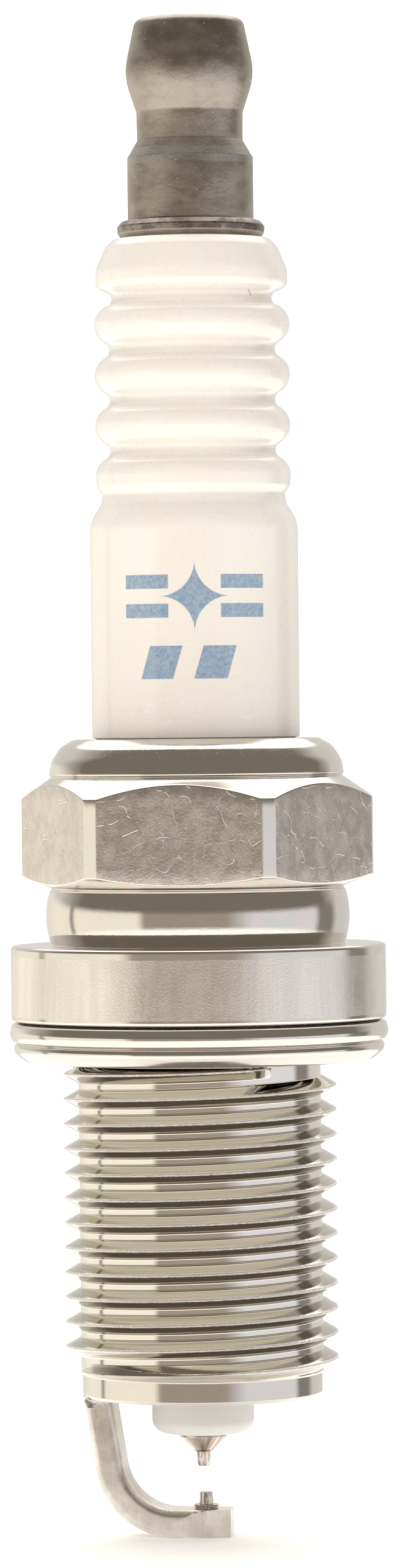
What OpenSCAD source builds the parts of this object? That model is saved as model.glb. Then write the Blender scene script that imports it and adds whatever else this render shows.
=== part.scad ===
// Spark plug: M14 x 1.25 thread, 19 mm reach, 16 mm hexagon, gasket seat, resistor,
// projected nose and a fine pin on each electrode.
// Z = 0 is the sealing face of the shell's flange, on the plug's axis. +Z points to the terminal.

/* [Terminal] */
// Height of the terminal's top above the seat
terminal_top_z = 50.6; // [50.2:0.1:51]
// Diameter of the snap head
head_d = 6.4; // [6.2:0.05:6.5]
// Diameter of the snap neck
snap_neck_d = 5.34; // [5.1:0.02:5.6]
// Diameter of the cylinder below the neck
skirt_d = 6.35; // [6.2:0.05:6.45]
// Diameter of the flange that rests on the insulator
foot_d = 7.45; // [7:0.05:7.6]
// Diameter of the shank inside the insulator
shank_d = 3.6; // [3.2:0.1:3.8]

/* [Insulator] */
// Height of the insulator's top face
insulator_top_z = 39.4; // [39.2:0.02:39.5]
// Diameter of the plain barrel that a boot seals on
barrel_d = 10.5; // [10.4:0.05:10.6]
// Diameter over the ribs
rib_d = 9.86; // [9.6:0.02:10]
// Diameter at the bottom of the grooves
groove_d = 8.36; // [8.2:0.02:8.6]
// Distance from one groove to the next
rib_pitch = 2.55; // [2.5:0.01:2.6]
// Height of the lowest full groove
lowest_groove_z = 28.72; // [28.6:0.01:28.9]
// Diameter of the hidden shoulder
shoulder_d = 11.9; // [11.6:0.1:12]
// Diameter of the nose at its tip
nose_d = 5.15; // [5:0.05:5.3]
// How far the nose stands out of the shell
nose_projection = 1.9; // [1.6:0.1:2.2]

/* [Shell] */
// Length of the thread and pilot below the seat
reach = 19; // [18.8:0.1:19.2]
// Hexagon across flats
hex_af = 15.8; // [15.7:0.05:16]
// Diameter that the hexagon's corners are turned to
hex_corner_d = 17.8; // [17.5:0.05:18]
// Turn of the hexagon about the axis
hex_turn = -6.7; // [-30:0.1:30]
// Diameter of the flange ring
ring_d = 18.95; // [18.8:0.05:19.2]
// Height of the flange ring
ring_h = 3.8; // [3.7:0.05:4]
// Largest diameter of the buckled waist
waist_d = 15.34; // [15.2:0.02:15.5]
// Diameter of the plain pilot at the end
pilot_d = 12.12; // [12:0.02:12.2]

/* [Thread] */
// Outer diameter of the thread
thread_d = 13.8; // [13.7:0.05:14]
// Diameter at the bottom of the thread
thread_root_d = 12.24; // [12.2:0.02:12.4]
// Pitch of the thread
thread_pitch = 1.25; // [1.25]
// Flat steps in one turn of the thread
thread_steps = 28; // [20:2:36]

/* [Gasket] */
// Outer diameter of the gasket's upper roll
gasket_d = 19.13; // [19:0.01:19.3]
// Diameter of the gasket's hole
gasket_hole_d = 13.3; // [13.2:0.05:13.5]
// Height of the folded gasket
gasket_h = 2.04; // [1.98:0.01:2.1]

/* [Electrodes] */
// Thickness of the ground electrode's bar
bar_t = 1.4; // [1.3:0.02:1.42]
// Width of the ground electrode's bar
bar_w = 2.7; // [2.6:0.05:2.8]
// Turn of the ground electrode about the axis
bar_turn = -7; // [-30:1:30]
// Width that the bar's tip is ground to
bar_tip_w = 1.4; // [1.35:0.05:1.6]
// Diameter of the centre electrode's sheath
centre_d = 2.42; // [2.3:0.02:2.46]
// Diameter of the ground pin at its top
ground_tip_d = 0.66; // [0.6:0.02:0.7]
// Spark gap between the two pins
spark_gap = 1.33; // [1:0.01:1.4]

/* [Hidden] */

ROUND = 72;          // facets shown on a large round surface
SMALL_ROUND = 36;    // facets shown on a small one
FIT = 0.01;          // gap between two bonded or packed pieces, on the radius
EPS = 0.01;          // how far a cutter runs past the face it cuts
JOIN = 0.001;        // overlap that fuses two lengths of one bar

// Shell heights
lip_top_z = 14.19;
hex_top_z = 12.24;
hex_full_top_z = 11.21;
hex_full_low_z = 7.29;
hex_low_z = 6.71;
lip_r = 7.42;
waist_end_r = 7.42;
lip_mouth_r = 5.42;
ring_edge_r = 0.25;

// Thread: a short neck above it keeps the gasket captive
shell_neck_r = 6.3;
shell_neck_low_z = -2.35;
thread_top_z = -2.28;
thread_low_z = -17.7;
thread_root_low_z = -17.75;
thread_start_angle = 306;
pilot_chamfer = 0.2;

// Shell bore, from the crimp down
packing_bore_r = 6.05;
body_bore_r = 4.62;
ledge_top_z = -8.1;
land_bore_r = 3.6;
land_low_z = -10.6;
gas_bore_r = 4.4;

// Insulator inside the shell: unglazed below the lip, and a little thinner there
bare_barrel_r = 5.05;
bare_barrel_z = lip_top_z + 0.05;
mid_body_r = 4.5;
mid_body_top_z = 2.05;
seat_top_z = -7.6;
seat_low_r = 3.3;
bore_r = 2;
electrode_bore_r = 1.27;
step_z = -4.7;
nose_tip_z = -reach - nose_projection;
nose_edge_r = 0.7;
nose_taper_z = -17;

// Talc packing
packing_r = (bare_barrel_r + packing_bore_r) / 2;
ring_wire_r = (packing_bore_r - bare_barrel_r) / 2 - FIT;
shoulder_top_z = 8.1;
shoulder_low_z = 3.3;
barrel_low_z = shoulder_top_z + shoulder_d / 2 - bare_barrel_r;
shoulder_line = shoulder_top_z + shoulder_d / 2;
lower_ring_z = shoulder_line - packing_r + ring_wire_r * sqrt(2) + FIT;
upper_ring_z = 12.56;

// Stack inside the insulator
electrode_head_top_z = -3.6;
resistor_low_z = -0.8;
resistor_top_z = 6.2;
rear_seal_top_z = 10.2;
stud_end_z = 7.6;
stud_end_r = 1.5;
knurl_top_z = 12.5;
shank_thick_z = 14;

// Electrode tips
cone_top_z = -21.09;
cone_low_z = -21.85;
cone_low_r = 0.44;
centre_tip_z = -22.6;
centre_tip_top_r = 0.36;
centre_tip_low_r = 0.29;
core_r = 0.68;
core_low_z = -18.8;
core_nose_h = 0.8;
ground_tip_z = centre_tip_z - spark_gap;
ground_tip_x = 0.12;
ground_tip_low_r = 0.3675;
collar_r = 0.64;

// Ground electrode: straight leg, bend, straight foot
bar_low_z = -26.17;
bar_chamfer = 0.21;
bend_outer_r = 4.1;
bend_end_x = -1.31;
leg_lean = 9;
bar_tip_x = 1.43;
bar_cut_x = -0.87;
bar_mid_r = bend_outer_r - bar_t / 2;
bend_z = bar_low_z + bend_outer_r;
bar_top_z = bar_low_z + bar_t;
collar_h = 0.22;

// Points along an arc, from angle a0 to a1, in n equal steps
function arc(centre, r, a0, a1, n) = [
    for (i = [0:n])
        let (a = a0 + (a1 - a0) * i / n)
        centre + r * [cos(a), sin(a)]
];

// Arc through two points on one vertical line that bulges outwards by the given amount
function bulge(r, z_from, z_to, out, n) =
    let (
        half = (z_from - z_to) / 2,
        radius = (half * half + out * out) / (2 * out),
        spread = asin(half / radius)
    )
    arc([r + out - radius, (z_from + z_to) / 2], radius, spread, -spread, n);

// A solid of revolution whose outline is a list of [radius, height] points
module turned(points, facets = ROUND) {
    rotate_extrude($fn = facets) polygon(points);
}

// A plain round bar from one height to another
module rod(r, z_low, z_high, facets = SMALL_ROUND) {
    translate([0, 0, z_low]) cylinder(r = r, h = z_high - z_low, $fn = facets);
}

// A tube of the given wall, open at both ends
module sleeve(r_out, r_in, z_low, z_high, facets = ROUND) {
    difference() {
        rod(r_out, z_low, z_high, facets);
        rod(r_in, z_low - EPS, z_high + EPS, facets);
    }
}

// ---------- Terminal ----------

module terminal_stud() {
    head_r = head_d / 2;
    neck_r = snap_neck_d / 2;
    skirt_r = skirt_d / 2;
    foot_r = foot_d / 2;
    top = terminal_top_z;
    color([0.46, 0.44, 0.41]) union() {
        turned(concat(
            [[0, top]],
            arc([1.45, top - 4.0], 4.0, 90, 78, 2),
            arc([head_r - 1.1, top - 0.95], 0.8, 70, 8, 4),
            [[head_r - 0.02, top - 2.3]],
            arc([head_r - 0.25, top - 2.65], 0.25, 20, -25, 3),
            [[head_r - 0.16, top - 3.75], [neck_r + 0.2, top - 4.3]],
            [[neck_r + 0.03, top - 4.8], [neck_r, top - 5.0], [neck_r, top - 6.22]],
            [[skirt_r, top - 7.1], [skirt_r, insulator_top_z + 1.0]],
            arc([foot_r - 0.42, insulator_top_z + 0.42], 0.42, 65, -50, 5),
            [[foot_r - 0.25, insulator_top_z], [0, insulator_top_z]]
        ));
        rod(shank_d / 2, shank_thick_z, insulator_top_z + EPS);
        translate([0, 0, knurl_top_z]) cylinder(
            r1 = stud_end_r, r2 = shank_d / 2, h = shank_thick_z - knurl_top_z, $fn = SMALL_ROUND);
        knurled_end();
    }
}

// The grooved lower end that the conductive glass grips
module knurled_end() {
    grooves = 5;
    spacing = 0.9;
    first_z = stud_end_z + 0.6;
    difference() {
        rod(stud_end_r, stud_end_z, knurl_top_z);
        for (i = [0:grooves - 1])
            translate([0, 0, first_z + i * spacing])
                rotate_extrude($fn = SMALL_ROUND)
                    polygon([[stud_end_r - 0.15, 0], [stud_end_r + EPS, 0.17], [stud_end_r + EPS, -0.17]]);
    }
}

// ---------- Insulator ----------

// Rounded ribs and grooves as arcs that meet at a common tangent
groove_arc_r = 0.42;
rib_depth = (rib_d - groove_d) / 2;
arc_sum = (pow(rib_pitch / 2, 2) + rib_depth * rib_depth) / (2 * rib_depth);
rib_arc_r = arc_sum - groove_arc_r;
rib_half_angle = asin(rib_pitch / 2 / arc_sum);

function groove_points(z) = arc(
    [groove_d / 2 + groove_arc_r, z], groove_arc_r, 180 - rib_half_angle, 180 + rib_half_angle, 6);
function rib_points(z) = arc(
    [rib_d / 2 - rib_arc_r, z], rib_arc_r, rib_half_angle, -rib_half_angle, 8);

module insulator() {
    barrel_r = barrel_d / 2;
    shoulder_r = shoulder_d / 2;
    nose_r = nose_d / 2;
    top = insulator_top_z;
    top_groove_z = lowest_groove_z + 3 * rib_pitch;
    color([0.95, 0.92, 0.87]) difference() {
        turned(concat(
            [[0, top]],
            arc([3.85, top - 0.35], 0.35, 90, 25, 3),
            arc([4.845 - 1.5, top - 1.98], 1.5, 30, -16, 5),
            arc([4.05 + 0.4, top - 3.08], 0.4, 110, 232, 6),
            [for (i = [2:-1:0]) each concat(
                rib_points(lowest_groove_z + (i + 0.5) * rib_pitch),
                groove_points(lowest_groove_z + i * rib_pitch))],
            arc([rib_d / 2 - rib_arc_r, lowest_groove_z - rib_pitch / 2], rib_arc_r, rib_half_angle, 0, 4),
            [[4.87, 27.09]],
            arc([4.6 + 0.55, 26.41], 0.55, 160, 215, 4),
            arc([barrel_r - 1.5, 24.84], 1.5, 38, 0, 4),
            [[barrel_r, bare_barrel_z], [bare_barrel_r, bare_barrel_z], [bare_barrel_r, barrel_low_z]],
            [[shoulder_r, shoulder_top_z], [shoulder_r, shoulder_low_z], [mid_body_r, mid_body_top_z]],
            [[mid_body_r, seat_top_z], [seat_low_r, seat_top_z - mid_body_r + seat_low_r]],
            [[nose_r, nose_taper_z]],
            arc([nose_r - nose_edge_r, nose_tip_z + nose_edge_r], nose_edge_r, 0, -90, 5),
            [[0, nose_tip_z]]
        ));
        rod(bore_r, step_z, top + EPS);
        translate([0, 0, step_z - bore_r + electrode_bore_r])
            cylinder(r1 = electrode_bore_r, r2 = bore_r, h = bore_r - electrode_bore_r, $fn = SMALL_ROUND);
        rod(electrode_bore_r, nose_tip_z - EPS, step_z - 0.5);
    }
}

// ---------- Shell ----------

// Outside of the shell above the thread, without the hexagon
module shell_top() {
    ring_r = ring_d / 2;
    turned(concat(
        [[0, lip_top_z], [6.05, lip_top_z]],
        [[6.48, 13.98], [6.82, 13.79], [7.08, 13.54], [7.23, 13.24], [7.35, 12.89], [lip_r, 12.49]],
        bulge(waist_end_r, hex_low_z, ring_h, waist_d / 2 - waist_end_r, 10),
        arc([ring_r - ring_edge_r, ring_h - ring_edge_r], ring_edge_r, 90, 0, 3),
        arc([ring_r - ring_edge_r, ring_edge_r], ring_edge_r, 0, -90, 3),
        [[shell_neck_r, 0], [shell_neck_r, shell_neck_low_z], [thread_root_d / 2, shell_neck_low_z - 0.2]],
        [[thread_root_d / 2, thread_root_low_z], [pilot_d / 2, thread_root_low_z]],
        [[pilot_d / 2, -reach + pilot_chamfer], [pilot_d / 2 - pilot_chamfer, -reach], [0, -reach]]
    ));
}

// Hexagon with turned corners and a cone at each end
module hexagon() {
    corner_r = hex_corner_d / 2;
    intersection() {
        rotate(hex_turn) translate([0, 0, hex_low_z])
            cylinder(r = hex_af / 2 / cos(30), h = hex_top_z - hex_low_z, $fn = 6);
        turned([
            [0, hex_top_z + EPS], [lip_r, hex_top_z], [corner_r, hex_full_top_z],
            [corner_r, hex_full_low_z], [waist_end_r, hex_low_z], [0, hex_low_z - EPS]
        ]);
    }
}

// Inside of the shell, from the crimped mouth to the open end
module shell_bore() {
    turned([
        [0, lip_top_z + EPS], [lip_mouth_r, lip_top_z + EPS], [lip_mouth_r, 13.21], [packing_bore_r, 12.87],
        [packing_bore_r, 2.9], [body_bore_r, 1.47], [body_bore_r, ledge_top_z],
        [land_bore_r, ledge_top_z - body_bore_r + land_bore_r], [land_bore_r, land_low_z],
        [gas_bore_r, land_low_z - gas_bore_r + land_bore_r], [gas_bore_r, -reach - EPS], [0, -reach - EPS]
    ]);
}

// Right-handed helical ridge: a pointed section swept along the axis, sinking into the root at both ends
module thread_ridge() {
    root_r = thread_root_d / 2;
    crest_r = thread_d / 2;
    under_r = root_r - 0.25;
    half_foot = thread_pitch * 0.4;
    half_crest = 0.03;
    turns = (thread_top_z - thread_low_z) / thread_pitch;
    run_in = 0.35;
    run_out = 0.9;
    steps = ceil(turns * thread_steps);
    // Height of the ridge along its length, from 0 at the ends to 1
    function swell(turn) = min(1, turn / run_in, (turns - turn) / run_out);
    points = [
        for (i = [0:steps])
            let (
                turn = i * turns / steps,
                a = thread_start_angle - 360 * turn,
                z = thread_top_z - thread_pitch * turn,
                s = max(0.02, swell(turn)),
                tip_r = root_r - 0.05 + s * (crest_r - root_r + 0.05),
                foot_z = half_foot + 0.16
            )
            each [
                for (p = [[under_r, -foot_z], [tip_r, -half_crest], [tip_r, half_crest], [under_r, foot_z]])
                    [p[0] * cos(a), p[0] * sin(a), z + p[1]]
            ]
    ];
    sides = [
        for (i = [0:steps - 1], k = [0:3])
            let (a = 4 * i + k, b = 4 * i + (k + 1) % 4)
            each [[a, a + 4, b], [b, a + 4, b + 4]]
    ];
    last = 4 * steps;
    caps = [[0, 1, 2], [0, 2, 3], [last, last + 2, last + 1], [last, last + 3, last + 2]];
    polyhedron(points, concat(sides, caps));
}

module metal_shell() {
    color([0.78, 0.77, 0.74]) difference() {
        union() {
            shell_top();
            hexagon();
            thread_ridge();
        }
        shell_bore();
    }
}

// ---------- Gasket ----------

// Folded washer: two rolls outside, a slit between the folds, flat faces above and below
module gasket() {
    top = -0.06;
    low = top - gasket_h;
    hole_r = gasket_hole_d / 2;
    roll_r = gasket_d / 2;
    color([0.8, 0.8, 0.78]) turned(concat(
        [[hole_r, top - 0.1], [hole_r + 0.1, top], [roll_r - 0.4, top]],
        arc([roll_r - 0.46, top - 0.5], 0.46, 80, -55, 6),
        [[roll_r - 0.5, top - 1.03]],
        arc([roll_r - 0.71, low + 0.65], 0.5, 48, 0, 3),
        arc([roll_r - 1.16, low + 0.95], 0.95, -20, -90, 6),
        [[thread_d / 2 + 0.1, low], [hole_r, low + 0.35], [hole_r, low + 0.62]],
        [[roll_r - 0.9, low + 0.8], [roll_r - 0.9, low + 0.9], [hole_r, low + 1.05]]
    ));
}

// ---------- Electrodes ----------

// Bar section with chamfered edges, thickness along X and width along Y
module bar_section() {
    x = bar_t / 2;
    y = bar_w / 2;
    c = bar_chamfer;
    polygon([
        [x - c, y], [x, y - c], [x, c - y], [x - c, -y],
        [c - x, -y], [-x, c - y], [-x, y - c], [c - x, y]
    ]);
}

// Bar bent from the shell's end to under the centre pin, before it is turned about the axis
module bent_bar() {
    leg_len = (bar_mid_r * sin(leg_lean) - reach - bend_z) / cos(leg_lean);
    translate([bend_end_x, 0, bend_z]) {
        // bend
        rotate([90, 0, 0]) rotate([0, 0, 180 + leg_lean])
            rotate_extrude(angle = 90 - leg_lean, $fn = ROUND)
                translate([bar_mid_r, 0]) bar_section();
        // leg, run on into the shell's end and cut off there
        rotate([0, -leg_lean, 0]) translate([-bar_mid_r, 0, 0])
            linear_extrude(leg_len + 1) bar_section();
        // foot
        rotate([0, 90, 0]) translate([bar_mid_r, 0, -JOIN])
            linear_extrude(bar_tip_x - bend_end_x + JOIN) bar_section();
    }
}

module ground_electrode() {
    start_w = bar_w + 0.02;
    color([0.72, 0.68, 0.62]) rotate(bar_turn) intersection() {
        bent_bar();
        translate([0, 0, -reach - 10]) linear_extrude(10) polygon([
            [-10, -start_w / 2], [bar_cut_x, -start_w / 2], [bar_tip_x + EPS, -bar_tip_w / 2],
            [bar_tip_x + EPS, bar_tip_w / 2], [bar_cut_x, start_w / 2], [-10, start_w / 2]
        ]);
    }
}

module ground_tip_base() {
    color([0.62, 0.6, 0.57]) translate([ground_tip_x, 0, 0])
        turned([
            [0, bar_top_z + collar_h], [collar_r - 0.05, bar_top_z + collar_h],
            [collar_r, bar_top_z + collar_h - 0.05], [collar_r, bar_top_z], [0, bar_top_z]
        ], SMALL_ROUND);
}

module ground_tip() {
    low = bar_top_z + collar_h;
    top_r = ground_tip_d / 2;
    color([0.6, 0.55, 0.5]) translate([ground_tip_x, 0, 0])
        turned([
            [0, ground_tip_z], [top_r - 0.02, ground_tip_z], [top_r, ground_tip_z - 0.02],
            [ground_tip_low_r, low], [0, low]
        ], SMALL_ROUND);
}

// Nickel cup: head in the insulator's step, long sheath, cone at the nose
module centre_electrode() {
    sheath_r = centre_d / 2;
    head_r = bore_r - 0.1;
    head_low_z = step_z - bore_r + head_r + 2 * FIT;
    color([0.7, 0.66, 0.6]) difference() {
        turned([
            [0, electrode_head_top_z], [head_r - 0.3, electrode_head_top_z],
            [head_r, electrode_head_top_z - 0.4], [head_r, head_low_z],
            [sheath_r, head_low_z - head_r + sheath_r],
            [sheath_r, cone_top_z], [cone_low_r, cone_low_z], [0, cone_low_z]
        ], SMALL_ROUND);
        turned([
            [0, electrode_head_top_z + EPS], [core_r + FIT, electrode_head_top_z + EPS],
            [core_r + FIT, core_low_z], [0.2, core_low_z - core_nose_h], [0, core_low_z - core_nose_h]
        ], SMALL_ROUND);
    }
}

module centre_electrode_core() {
    color([0.72, 0.45, 0.3]) turned([
        [0, electrode_head_top_z], [core_r, electrode_head_top_z], [core_r, core_low_z],
        [0.2, core_low_z - core_nose_h + FIT], [0, core_low_z - core_nose_h + FIT]
    ], SMALL_ROUND);
}

module centre_tip() {
    color([0.6, 0.56, 0.5]) turned([
        [0, cone_low_z], [centre_tip_top_r, cone_low_z], [centre_tip_low_r, centre_tip_z + 0.02],
        [centre_tip_low_r - 0.02, centre_tip_z], [0, centre_tip_z]
    ], SMALL_ROUND);
}

// ---------- Sealed stack ----------

module front_glass_seal() {
    color([0.25, 0.22, 0.2]) rod(bore_r - FIT, electrode_head_top_z, resistor_low_z);
}

module resistor() {
    color([0.15, 0.15, 0.15]) rod(bore_r - FIT, resistor_low_z, resistor_top_z);
}

module rear_glass_seal() {
    color([0.25, 0.22, 0.2]) difference() {
        rod(bore_r - FIT, resistor_top_z, rear_seal_top_z);
        rod(stud_end_r + FIT, stud_end_z, rear_seal_top_z + EPS);
    }
}

// ---------- Packing ----------

module wire_ring(z) {
    translate([0, 0, z]) rotate_extrude($fn = ROUND)
        translate([packing_r, 0]) circle(r = ring_wire_r, $fn = SMALL_ROUND);
}

module upper_packing_ring() {
    color([0.55, 0.55, 0.55]) wire_ring(upper_ring_z);
}

module lower_packing_ring() {
    color([0.55, 0.55, 0.55]) wire_ring(lower_ring_z);
}

module talc_fill() {
    color([0.85, 0.85, 0.8]) sleeve(
        packing_bore_r - FIT, bare_barrel_r + FIT,
        lower_ring_z + ring_wire_r + FIT, upper_ring_z - ring_wire_r - FIT);
}

// Thin cone of sheet steel between the two seat cones
module seat_washer() {
    outer_r = mid_body_r;
    inner_r = land_bore_r + 0.08;
    top_z = seat_top_z - 2 * FIT;
    low_z = ledge_top_z - body_bore_r + outer_r + 2 * FIT;
    color([0.6, 0.58, 0.55]) turned([
        [outer_r, top_z], [outer_r, low_z],
        [inner_r, low_z - outer_r + inner_r], [inner_r, top_z - outer_r + inner_r]
    ]);
}

metal_shell();
gasket();
insulator();
terminal_stud();
ground_electrode();
ground_tip_base();
ground_tip();
centre_electrode();
centre_electrode_core();
centre_tip();
front_glass_seal();
resistor();
rear_glass_seal();
upper_packing_ring();
talc_fill();
lower_packing_ring();
seat_washer();
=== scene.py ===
"""Spark plug on a pale floor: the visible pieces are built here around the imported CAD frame.

Profiles are in millimetres from the sealing face of the flange, Z up, and become metres in add_mesh().
"""
import math

import bmesh
import bpy
from mathutils import Matrix, Vector


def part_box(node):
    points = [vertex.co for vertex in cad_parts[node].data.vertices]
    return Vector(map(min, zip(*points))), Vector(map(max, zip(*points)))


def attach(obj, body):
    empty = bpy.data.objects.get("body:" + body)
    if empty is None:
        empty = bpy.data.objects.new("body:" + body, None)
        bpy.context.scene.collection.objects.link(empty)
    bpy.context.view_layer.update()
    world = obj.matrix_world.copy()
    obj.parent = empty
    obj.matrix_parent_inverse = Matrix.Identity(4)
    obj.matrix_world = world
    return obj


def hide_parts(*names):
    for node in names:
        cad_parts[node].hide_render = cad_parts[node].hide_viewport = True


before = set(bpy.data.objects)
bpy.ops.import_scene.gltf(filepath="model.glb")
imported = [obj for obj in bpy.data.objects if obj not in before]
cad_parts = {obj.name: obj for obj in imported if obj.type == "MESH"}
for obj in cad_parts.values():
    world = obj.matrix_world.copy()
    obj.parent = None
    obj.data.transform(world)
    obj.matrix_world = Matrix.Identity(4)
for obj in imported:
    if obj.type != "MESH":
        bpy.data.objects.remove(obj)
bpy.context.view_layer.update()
MM = 0.001


def low(node, axis=2):
    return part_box(node)[0][axis] / MM


def high(node, axis=2):
    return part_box(node)[1][axis] / MM


# ---------- Driving dimensions, from the frame ----------

TERMINAL_TOP = high("terminal_stud")
INSULATOR_TOP = high("insulator")
NOSE_TIP = low("insulator")
LIP_TOP = high("metal_shell")
SHELL_END = low("metal_shell")
GASKET_TOP = high("gasket")
GASKET_LOW = low("gasket")
GASKET_R = high("gasket", 0)
BAR_LOW = low("ground_electrode")
CENTRE_TIP = low("centre_tip")
GROUND_TIP_TOP = high("ground_tip")
GROUND_TIP_FOOT = low("ground_tip")

# ---------- Shell ----------

HEX_AF = 15.8
HEX_CORNER_R = 8.9
HALF_CORNER = 30 - math.degrees(math.acos(HEX_AF / 2 / HEX_CORNER_R))
HEX_TURN = -6.7
HEX_TOP = 12.24
HEX_LOW = 6.71
HEX_FULL_TOP = 11.21
HEX_FULL_LOW = 7.29
COLLAR_R = 7.42
WAIST_R = 7.67
RING_R = 9.475
RING_H = 3.8
NECK_R = 6.3
THREAD_R = 6.9
ROOT_R = 6.12
PILOT_R = 6.06
PITCH = 1.25
RIDGE_START = 306
RIDGE_TOP = -2.28
RIDGE_LOW = -17.7
RUN_IN = 0.04
RUN_OUT = 0.3
GAS_BORE_R = 4.4
LEDGE_R = 3.6
BODY_BORE_R = 4.62
PACKING_BORE_R = 6.05
MOUTH_R = 5.42

# ---------- Insulator ----------

BARREL_R = 5.25
RIB_R = 4.93
GROOVE_R = 4.18
RIB_PITCH = 2.55
LOWEST_GROOVE = 28.72
GROOVE_ARC_R = 0.42
BARE_BARREL_R = 5.05
SHOULDER_R = 5.95
LOWER_BODY_R = 4.5
NOSE_R = 2.575
CORE_BORE_R = 1.27
STUD_BORE_R = 2.0

SEGMENTS = 192


# ---------- Mesh helpers ----------

def arc(cx, cz, r, a0, a1, n):
    """Points of an arc round (cx, cz) from angle a0 to a1 in degrees."""
    angles = [math.radians(a0 + (a1 - a0) * i / n) for i in range(n + 1)]
    return [(cx + r * math.cos(a), cz + r * math.sin(a)) for a in angles]


def rounded(corners, step=9):
    """An outline through corners (r, z, fillet radius), with each fillet as an arc."""
    points = []
    for i, (r, z, fillet) in enumerate(corners):
        if fillet == 0 or i in (0, len(corners) - 1):
            points.append((r, z))
            continue
        here = Vector((r, z))
        back = (Vector(corners[i - 1][:2]) - here).normalized()
        ahead = (Vector(corners[i + 1][:2]) - here).normalized()
        half = back.angle(ahead) / 2
        centre = here + (back + ahead).normalized() * fillet / math.sin(half)
        first = here + back * fillet / math.tan(half) - centre
        last = here + ahead * fillet / math.tan(half) - centre
        a0 = math.atan2(first.y, first.x)
        turn = math.remainder(math.atan2(last.y, last.x) - a0, 2 * math.pi)
        n = max(2, math.ceil(abs(math.degrees(turn)) / step))
        points += [
            (centre.x + fillet * math.cos(a0 + turn * k / n), centre.y + fillet * math.sin(a0 + turn * k / n))
            for k in range(n + 1)]
    return points


def add_mesh(name, verts, faces, regions, materials, sharp=40):
    """A mesh object from millimetre points, welded, outward, smooth but for edges sharper than the angle."""
    mesh = bpy.data.meshes.new(name)
    mesh.from_pydata([tuple(c * MM for c in v) for v in verts], [], faces)
    for m in materials:
        mesh.materials.append(m)
    mesh.polygons.foreach_set("material_index", regions)
    bm = bmesh.new()
    bm.from_mesh(mesh)
    bmesh.ops.remove_doubles(bm, verts=bm.verts, dist=1e-7)
    bmesh.ops.recalc_face_normals(bm, faces=bm.faces)
    for f in bm.faces:
        f.smooth = True
    for e in bm.edges:
        e.smooth = not (len(e.link_faces) == 2 and e.calc_face_angle() > math.radians(sharp))
    bm.to_mesh(mesh)
    bm.free()
    piece = bpy.data.objects.new(name, mesh)
    bpy.context.scene.collection.objects.link(piece)
    weighted = piece.modifiers.new("weighted", "WEIGHTED_NORMAL")
    weighted.keep_sharp = True
    return piece


def place(piece, body, slot, *nodes):
    """Puts a finished piece on its body, in place of the CAD nodes it stands for."""
    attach(piece, body)
    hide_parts(*nodes)
    return piece


class Rings:
    """Faces stitched between rings of points that share one list of angles."""

    def __init__(self, angles, centre=(0, 0)):
        self.angles = angles
        self.centre = centre
        self.verts = []
        self.faces = []
        self.regions = []

    def ring(self, r, z):
        """A ring; r and z are numbers or functions of the angle in degrees."""
        start = len(self.verts)
        cx, cy = self.centre
        for a in self.angles:
            rr = r(a) if callable(r) else r
            zz = z(a) if callable(z) else z
            self.verts.append((cx + rr * math.cos(math.radians(a)), cy + rr * math.sin(math.radians(a)), zz))
        return start

    def join(self, a, b, region=0):
        """Faces between two rings; region is a number or a function of the angle in degrees."""
        n = len(self.angles)
        for k in range(n):
            m = (k + 1) % n
            self.faces.append((a + k, a + m, b + m, b + k))
            self.regions.append(region(self.angles[k]) if callable(region) else region)

    def chain(self, outline, region=0, after=None):
        """Rings along an outline of (r, z) pairs, each joined to the one before; gives the last ring."""
        last = after
        for r, z in outline:
            here = self.ring(r, z)
            if last is not None:
                self.join(last, here, region)
            last = here
        return last


def lathe(name, outline, materials, region_of=None, segments=SEGMENTS, closed=False, centre=(0, 0), sharp=40):
    """A solid of revolution; region_of(r, z) picks the material of each band."""
    angles = [360 * i / segments for i in range(segments)]
    rings = Rings(angles, centre)
    points = list(outline) + ([outline[0]] if closed else [])
    last = None
    for i, (r, z) in enumerate(points):
        here = rings.ring(max(r, 0), z)
        if last is not None:
            middle = ((points[i - 1][0] + r) / 2, (points[i - 1][1] + z) / 2)
            rings.join(last, here, region_of(*middle) if region_of else 0)
        last = here
    return add_mesh(name, rings.verts, rings.faces, rings.regions, materials, sharp)


# ---------- Material helpers ----------

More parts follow.
